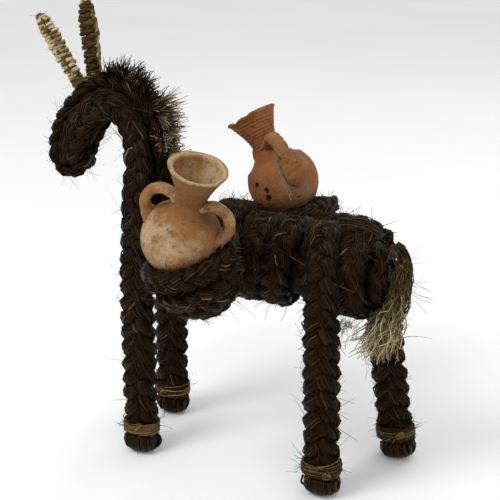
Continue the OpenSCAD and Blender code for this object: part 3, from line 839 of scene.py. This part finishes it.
# ------------------------------------------------------------------ panniers
jug_y = 65.0
belly = {"near": np.array([-16, -jug_y, 176]), "far": np.array([-4, jug_y - 1, 181])}
jug_lean = {"near": [0.33, -0.175, 0.93], "far": [-0.515, 0.055, 0.855]}
jug_spin = {"near": 10, "far": -45}
nest_lean = {"near": [-0.26, -0.22, 0.94], "far": [-0.22, 0.06, 0.97]}
nest_seat = {"near": 16.0, "far": 24.0}
rim_r = 27.0
# The radius of the lower turns, and how far each is below the rim
lower = np.array([[27.0, 1.5], [25.6, 11.95], [21, 22.7], [13.2, 31.2], [4.5, 34.5]])

for name in ("near", "far"):
    m = along(nest_lean[name])
    middle = belly[name]
    seat = nest_seat[name]
    sign = -1 if name == "near" else 1

    def placed(local):
        return middle + local @ m.T

    def up_way(t, p):
        return np.broadcast_to(m @ Z, t.shape)

    # The rim: one closed ring of braid, its flat side outward
    a = np.linspace(0, 2 * np.pi, 200)
    wavy = 0.7 * np.sin(3 * a + 1) + 0.5 * np.sin(5 * a)
    ring = round_z(rim_r + 0.3 * wavy, a, -seat + 0.7 * wavy)
    data = Straw()
    fr = braid(data, even(placed(ring), 2.4), 14.5, 10.5, up_way, pitch=26, fibres=20, closed=True)
    strays(data, fr, 150, length=(4, 11))
    # The end of the rim's braid sticks out at the back of the nest
    end_angle = math.radians(18 if name == "far" else 60)
    out_way = np.array([math.cos(end_angle), math.sin(end_angle), 0])
    side = np.array([-math.sin(end_angle), math.cos(end_angle), 0])
    stub = [out_way * rim_r - side * 12 + [0, 0, -seat - 1], out_way * (rim_r + 4) + [0, 0, -seat + 1.5],
            out_way * (rim_r + 5) + side * 11 + [0, 0, -seat + 3.0]]
    braid(data, curve(placed(np.array(stub)), 2.2), 12.5, 10, up_way, pitch=25, fibres=18, ends=(0.5, 0.4))
    finish_piece(f"{name}_nest_rim_braid", data, dark_straw, (f"{name}_nest_rim",))

    # The lower turns: one braid that winds down and inward
    data = Straw()
    turns = np.linspace(0.55, 3.9, 420)
    r = np.interp(turns, np.arange(5), lower[:, 0])
    z = np.interp(turns, np.arange(5), lower[:, 1])
    spin = turns * 2 * np.pi * sign + 1.0
    wind, _ = even(round_z(r, spin, -seat - z), 2.5)
    slope_r = np.interp(-wind[:, 2] - seat, lower[:, 1], np.gradient(lower[:, 0]))
    slope_z = np.interp(-wind[:, 2] - seat, lower[:, 1], -np.gradient(lower[:, 1]))

    def wall_way(t, p):
        flat = unit(wind * [1, 1, 0])
        return (flat * slope_r[:, None] + Z * slope_z[:, None]) @ m.T

    wound = (placed(wind), np.linspace(0, 2.5 * (len(wind) - 1), len(wind)))
    fr = braid(data, wound, 13.6, 10.0, wall_way, pitch=26, fibres=19, ends=(0.7, 0.5))
    strays(data, fr, 170, length=(4, 12))
    knot = np.array([[0, 0, -seat - z0] for z0 in (30.5, 33, 36, 38.2)])
    data.tubes(placed(knot)[None], np.array([[6.0, 7.5, 7.5, 4.0]]), 0.1, sides=12)
    for k in range(30):
        ang, rr = rng.uniform(0, 6.3), rng.uniform(1, 7.5)
        q = np.array([[rr * math.cos(ang + d), rr * math.sin(ang + d), -seat - 38.4 + 0.05 * rr * rr]
                      for d in np.linspace(0, 2.0, 8)])
        data.tubes(placed(q)[None], rng.uniform(0.5, 0.9), rng.uniform(0.05, 0.5))
    finish_piece(f"{name}_nest_wound_braid", data, dark_straw, (f"{name}_nest_bowl",))

    # Loose packing straw under the jug
    data = Straw()
    count = 260
    ang = rng.uniform(0, 2 * np.pi, count)
    top = rng.uniform(14, 21.5, count)
    rows = []
    for k in range(count):
        d = np.linspace(0, rng.uniform(0.5, 1.3), 7)
        rr = top[k] + rng.normal(0, 0.5) * d
        high = -np.sqrt(np.maximum(26.4**2 - np.minimum(rr, 25)**2, 0)) - 0.2
        high = np.minimum(high + rng.uniform(0, 0.6) * np.sin(d * 4), -seat + 2.5)
        rows.append(round_z(rr, ang[k] + d, high))
    data.tubes(placed(np.array(rows)), rng.uniform(0.35, 0.8, (count, 1)), rng.uniform(0.1, 0.7, count))
    finish_piece(f"{name}_nest_loose_straw", data, core_straw, (f"{name}_nest_packing",))

# The strap over the back: two braids side by side
data = Straw()
a = np.radians(np.arange(28, 153, 6))
over = body_r + 2.8
for k, offset in enumerate((-5.6, 5.6)):
    line = np.stack([-14 + offset + 6 * a / np.pi, -over * np.cos(a), body_z + over * np.sin(a)], 1)
    fr = braid(data, curve(line, 2.3), 11.5, 5.6, hind_way, pitch=24, fibres=15, phase=0.4 * k,
               ends=(0.8, 0.8), tone=0.05)
    strays(data, fr, 60, length=(4, 12))
finish_piece("saddle_strap_braids", data, dark_straw, ("saddle_strap",))

# ------------------------------------------------------------------ jugs
belly_r, throat_r, mouth_r, mouth_h, wall = 25.0, 9.6, 18.0, 52.0, 2.4
base_h = -21.0


def arc_points(r, start, stop, count):
    return [[r * math.cos(a), r * math.sin(a)] for a in np.linspace(start, stop, count)]


def jug_profile():
    """The outline from the middle of the base, up outside, over the lip and down inside."""
    low = math.asin(-base_h / belly_r)
    ball = arc_points(belly_r, -low + 0.12, 0.62, 26)
    neck = [[throat_r + 6.2, 17.2], [throat_r + 2.2, 21.5], [throat_r + 0.2, 26], [throat_r, 30],
            [throat_r + 1.4, 36], [throat_r + 3.6, 41.5], [mouth_r - 2.3, 47], [mouth_r - 0.6, mouth_h - 1.6]]
    lip = [[mouth_r, mouth_h - 0.5], [mouth_r - 0.5, mouth_h], [mouth_r - wall * 0.6, mouth_h - 0.1],
           [mouth_r - wall, mouth_h - 1.2]]
    inner = [[mouth_r - wall - 1.8, 46.5], [throat_r + 1.0, 40.5], [throat_r - 1.3, 35],
             [throat_r - wall, 29], [throat_r - wall, 25], [throat_r, 20.5], [throat_r + 4.5, 16]]
    inside = arc_points(belly_r - wall, 0.5, -0.75, 14)
    foot = [[12.5, base_h], [6, base_h + 0.5], [0.01, base_h + 0.6]]
    pts = foot[::-1] + [[belly_r * math.cos(low) - 0.6, base_h + 0.4]] + ball + neck + lip + inner + inside
    pts += [[9, -18.2], [0.01, -18.6]]
    p = np.array([[x, 0, z] for x, z in pts])
    return curve(p, 0.6)[0][:, [0, 2]]


# Pits in the clay: the way from the middle of the belly, the radius and the depth
pits = {"near": [((-0.55, -0.75, -0.45), 0.9, 0.5)],
        "far": [((-10.4, -22.7, 1.3), 1.7, 1.3), ((-1.9, -25.0, -1.0), 1.9, 1.5),
                ((-0.3, -24.2, -6.2), 2.1, 1.7), ((18.5, -16.0, -5.0), 1.0, 0.6)]}


# The middle line of a handle, and of the one that runs on down the belly as a smear of clay
handle = [[8.2, 0, 26.8], [12, 0, 28.9], [16.5, 0, 29.9], [21, 0, 28.8], [24.8, 0, 25.8], [27, 0, 21],
          [27.2, 0, 16], [25.2, 0, 11.5], [21.8, 0, 8.0]]
smeared = handle[:-2] + [[26.4, 0, 11.0], [26.6, 0, 6.0], [26.8, 0, 1.0], [26.2, 0, -4.0], [24.6, 0, -7.5]]


def closed_skin(data, verts, rows, cols, tones):
    """Joins rows of cols points into a skin with a flat face at each end."""
    i, k = np.meshgrid(np.arange(rows - 1), np.arange(cols), indexing="ij")
    nxt = (k + 1) % cols
    quads = np.stack([i * cols + k, i * cols + nxt, (i + 1) * cols + nxt, (i + 1) * cols + k], -1)
    data.add(verts, [quads.reshape(-1, 4)], tones)
    ring = np.arange(cols)
    data.faces.setdefault(cols, []).append(ring[None, ::-1])
    data.faces[cols].append((ring + (rows - 1) * cols)[None])


def make_jug(name):
    m = along(jug_lean[name])
    c, s = math.cos(math.radians(jug_spin[name])), math.sin(math.radians(jug_spin[name]))
    m = m @ np.array([[c, -s, 0], [s, c, 0], [0, 0, 1]])
    material = near_clay if name == "near" else far_clay
    profile = jug_profile()
    rows, cols = len(profile), 132
    out = int(np.argmax(profile[:, 1]))
    holes = [(Vector(unit(np.array(way, float) @ m)) * belly_r, radius, depth)
             for way, radius, depth in pits[name]]
    verts, tones = [], []
    seed = 3.7 if name == "near" else 9.1
    for i, (r, h) in enumerate(profile):
        inside = i > out
        for k in range(cols):
            a = 2 * math.pi * k / cols
            q = Vector((math.cos(a) * r, math.sin(a) * r, h))
            bump = 0.45 * noise.noise(q * 0.055 + Vector((seed, 0, 0))) + 0.16 * noise.noise(q * 0.22)
            bump += 0.05 * noise.noise(q * 0.9)
            rib = 0.0
            if name == "far" and h > 23 and not inside:
                rib = math.sin(h * 2.9 + 0.5 * noise.noise(q * 0.12))
                rib *= 0.65 + noise.noise(Vector((0, 0, h * 0.45)))
                bump += 0.30 * rib
            elif name == "near" and h > 20:
                bump += 0.06 * math.sin(h * 2.2)
            near_lip = max(0, 1 - abs(h - mouth_h) / 3.0)
            lip_swell = 0.55 * max(0, 1 - abs(h - mouth_h + 1.0) / 3.2) * (1 if inside else 0.8)
            chip = noise.noise(Vector((math.cos(a) * 3.1 + seed, math.sin(a) * 3.1, 1.3)))
            dz = -near_lip * max(0, chip - (0.15 if name == "far" else 0.3)) * (3.4 if name == "far" else 1.4)
            dz += 0.5 * near_lip * noise.noise(Vector((math.cos(a) * 1.2, math.sin(a) * 1.2, seed)))
            grow = bump * (0 if r < 2 else 1) * (-0.6 if inside else 1) + lip_swell * (-1 if inside else 1)
            sunk = 0.0
            if not inside:
                for at, radius, depth in holes:
                    edge = (q - at).length * (1 + 0.35 * noise.noise(q * 0.8))
                    sunk = max(sunk, depth * max(0, 1 - (edge / radius) ** 2))
            grow -= sunk
            verts.append(((r + grow) * math.cos(a), (r + grow) * math.sin(a), h + dz))
            # The near jug's tone: the side towards -115 degrees is lighter, painted light; the bottom and the
            # outside of the neck are darker, painted shade; the lip and the inside of the mouth are paler.
            if name == "near":
                lit_side = math.cos(a - math.radians(-115))
                low, high = min(1, max(0, (h + 16) / 14)), min(1, max(0, (22 - h) / 10))
                tone = 0.36 + 0.30 * lit_side * (0.3 + 0.7 * low * high) + 0.4 * near_lip - 0.24 * (1 - low)
                tone += -0.22 * (1 - high) if not inside else 0.25
            else:
                # The far jug's tone: the side towards 20 degrees is lighter below the neck, painted light,
                # and the lip is paler.
                lit_side = math.cos(a - math.radians(20))
                tone = 0.36 + 0.25 * lit_side * min(1, max(0, (24 - h) / 8)) + 0.35 * near_lip
            # One side of the inside of the mouth is lighter: painted light.
            if inside and h > 20:
                tone += 0.15 * math.cos(a)
            # The rib crests are lighter and their grooves darker, painted light and shade; a pit's tone goes
            # below nought for the painted shade in it.
            tones.append(tone + 0.10 * rib - (2.5 * min(sunk, 0.8) if sunk > 0.12 else 0))
    data = Straw()
    closed_skin(data, belly[name] + np.array(verts) @ m.T, rows, cols, np.array(tones))
    finish_piece(f"{name}_jug_clay_pot", data, material, (f"{name}_jug_pot",), f"{name}_jug")

    names = {"near": ("rear", "front"), "far": ("inner", "outer")}[name]
    for turn, which in enumerate(names):
        data = Straw()
        thicker = name == "far" and which == "inner"
        p, s_h = curve(smeared if thicker else handle, 0.8)
        if turn:
            p = p * [-1, -1, 1]
        u = s_h / s_h[-1]
        t = unit(np.gradient(p, axis=0))
        vv = np.cross(t, Y)
        if thicker:
            a_h = np.interp(u, [0, 0.12, 0.5, 0.72, 0.86, 0.95, 1], [7.0, 4.8, 5.0, 6.4, 6.8, 5.0, 2.0])
            b_h = np.interp(u, [0, 0.5, 0.72, 0.86, 1], [4.0, 4.0, 3.4, 2.6, 1.4])
        else:
            flare = 1 + 0.55 * np.clip(1 - u / 0.12, 0, 1) ** 1.6
            flare += 0.75 * np.clip((u - 0.80) / 0.20, 0, 1) ** 1.5
            a_h = (3.5 + 1.3 * u**2) * flare * 1.08
            b_h = 3.1 * (1 + 0.35 * np.clip((u - 0.82) / 0.18, 0, 1)) * 1.08
        sides = 28
        verts = []
        for j in range(len(p)):
            for k in range(sides):
                ang = 2 * math.pi * k / sides
                off = Y * a_h[j] * math.cos(ang) + vv[j] * b_h[j] * math.sin(ang)
                q = Vector(p[j] + off)
                rough = 0.22 * noise.noise(q * 0.3 + Vector((seed, turn, 0))) + 0.12 * noise.noise(q * 1.1)
                verts.append(p[j] + off * (1 + rough * (1.2 if thicker else 0.5)))
        tone = 0.40 + 0.12 * np.repeat(np.sin(u * 5), sides)
        closed_skin(data, belly[name] + np.array(verts) @ m.T, len(p), sides, tone)
        finish_piece(f"{name}_jug_{which}_clay_handle", data, material,
                     (f"{name}_jug_{which}_handle",), f"{name}_jug")

    # A thin thread round the handle, with two loose ends
    data = Straw()
    b = np.linspace(0, 2 * np.pi, 40)
    loop_x, loop_y = (4.7, 6.6) if name == "far" else (3.9, 4.9)
    loop = np.stack([26.9 + loop_x * np.cos(b), loop_y * np.sin(b), 17 + 0.6 * np.sin(2 * b)], 1)
    lines = [loop]
    for k in range(2):
        lines.append(np.array([[26.5 - k, 0.2 - loop_y, 17], [27.0, -0.7 - loop_y - k, 9 - k],
                               [28.0 + k, -1.6 - loop_y - 2 * k, -3.0],
                               [29.5 + 3 * k, -2.1 - loop_y - 3 * k, -13.0 - 2 * k]]))
    for line in lines:
        p, _ = curve(line, 0.9)
        data.tubes((belly[name] + p @ m.T)[None], 0.2, 0.5, sides=6)
    finish_piece(f"{name}_jug_nylon_thread", data, thread_nylon, (f"{name}_jug_thread",), f"{name}_jug")


make_jug("near")
make_jug("far")

# ------------------------------------------------------------------ CAD nodes that stay
kept = {"body_core": core_straw, "body_core_ties": tie_straw, "near_ear_core": core_straw,
        "far_ear_core": core_straw}
for leg in ("near_foreleg", "far_foreleg", "near_hindleg", "far_hindleg"):
    kept[f"{leg}_wire"] = wire_steel
for node, material in kept.items():
    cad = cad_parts[node]
    if not cad.material_slots:
        cad.data.materials.append(material)
    for place in cad.material_slots:
        place.material = material

# ------------------------------------------------------------------ floor, light and camera
lo, hi = cad_box
half = 9.0
floor_mesh = bpy.data.meshes.new("floor")
floor_mesh.from_pydata([(-half, -half, 0), (half, -half, 0), (half, half, 0), (-half, half, 0)], [],
                       [(0, 1, 2, 3)])
floor = in_scene("floor", floor_mesh)
floor_mat, tree, shader, coords = new_material("pale_floor")
tint = ramp(tree, texture(tree, coords, 3, 3, 0.5), [(0.3, (0.90,) * 3), (0.7, (0.94,) * 3)])
tree.links.new(tint, shader.inputs["Base Color"])
shader.inputs["Roughness"].default_value = 0.9
floor_mesh.materials.append(floor_mat)

bpy.context.scene.view_settings.view_transform = "Standard"
world = bpy.data.worlds.new("studio")
world.use_nodes = True
sky = world.node_tree.nodes["Background"]
sky.inputs["Color"].default_value = (1, 1, 1, 1)
sky.inputs["Strength"].default_value = 0.8
bpy.context.scene.world = world

# The point that the lights and the camera face: near the part's middle, set by the photo's framing
target = Vector(((lo.x + hi.x) / 2 + 0.01995, (lo.y + hi.y) / 2 - 0.00085, 0.150))


def area_light(name, at, size, power):
    light = bpy.data.lights.new(name, "AREA")
    light.size = size
    light.energy = power
    ob = in_scene(name, light)
    ob.location = at
    ob.rotation_euler = (target - Vector(at)).to_track_quat("-Z", "Y").to_euler()


area_light("key", (-0.45, -0.75, 1.15), 0.5, 8.0)
area_light("fill", (0.95, -0.7, 0.7), 0.9, 1.5)
area_light("back", (0.3, 1.0, 1.1), 0.8, 3.0)

camera = bpy.data.cameras.new("camera")
camera.sensor_width = 36
camera.lens = 81.36
camera_ob = in_scene("camera", camera)
az, el, distance = math.radians(25), math.radians(19), 0.750
toward = Vector((math.sin(az) * math.cos(el), -math.cos(az) * math.cos(el), math.sin(el)))
camera_ob.location = target + distance * toward
camera_ob.rotation_euler = (target - camera_ob.location).to_track_quat("-Z", "Y").to_euler()
bpy.context.scene.camera = camera_ob
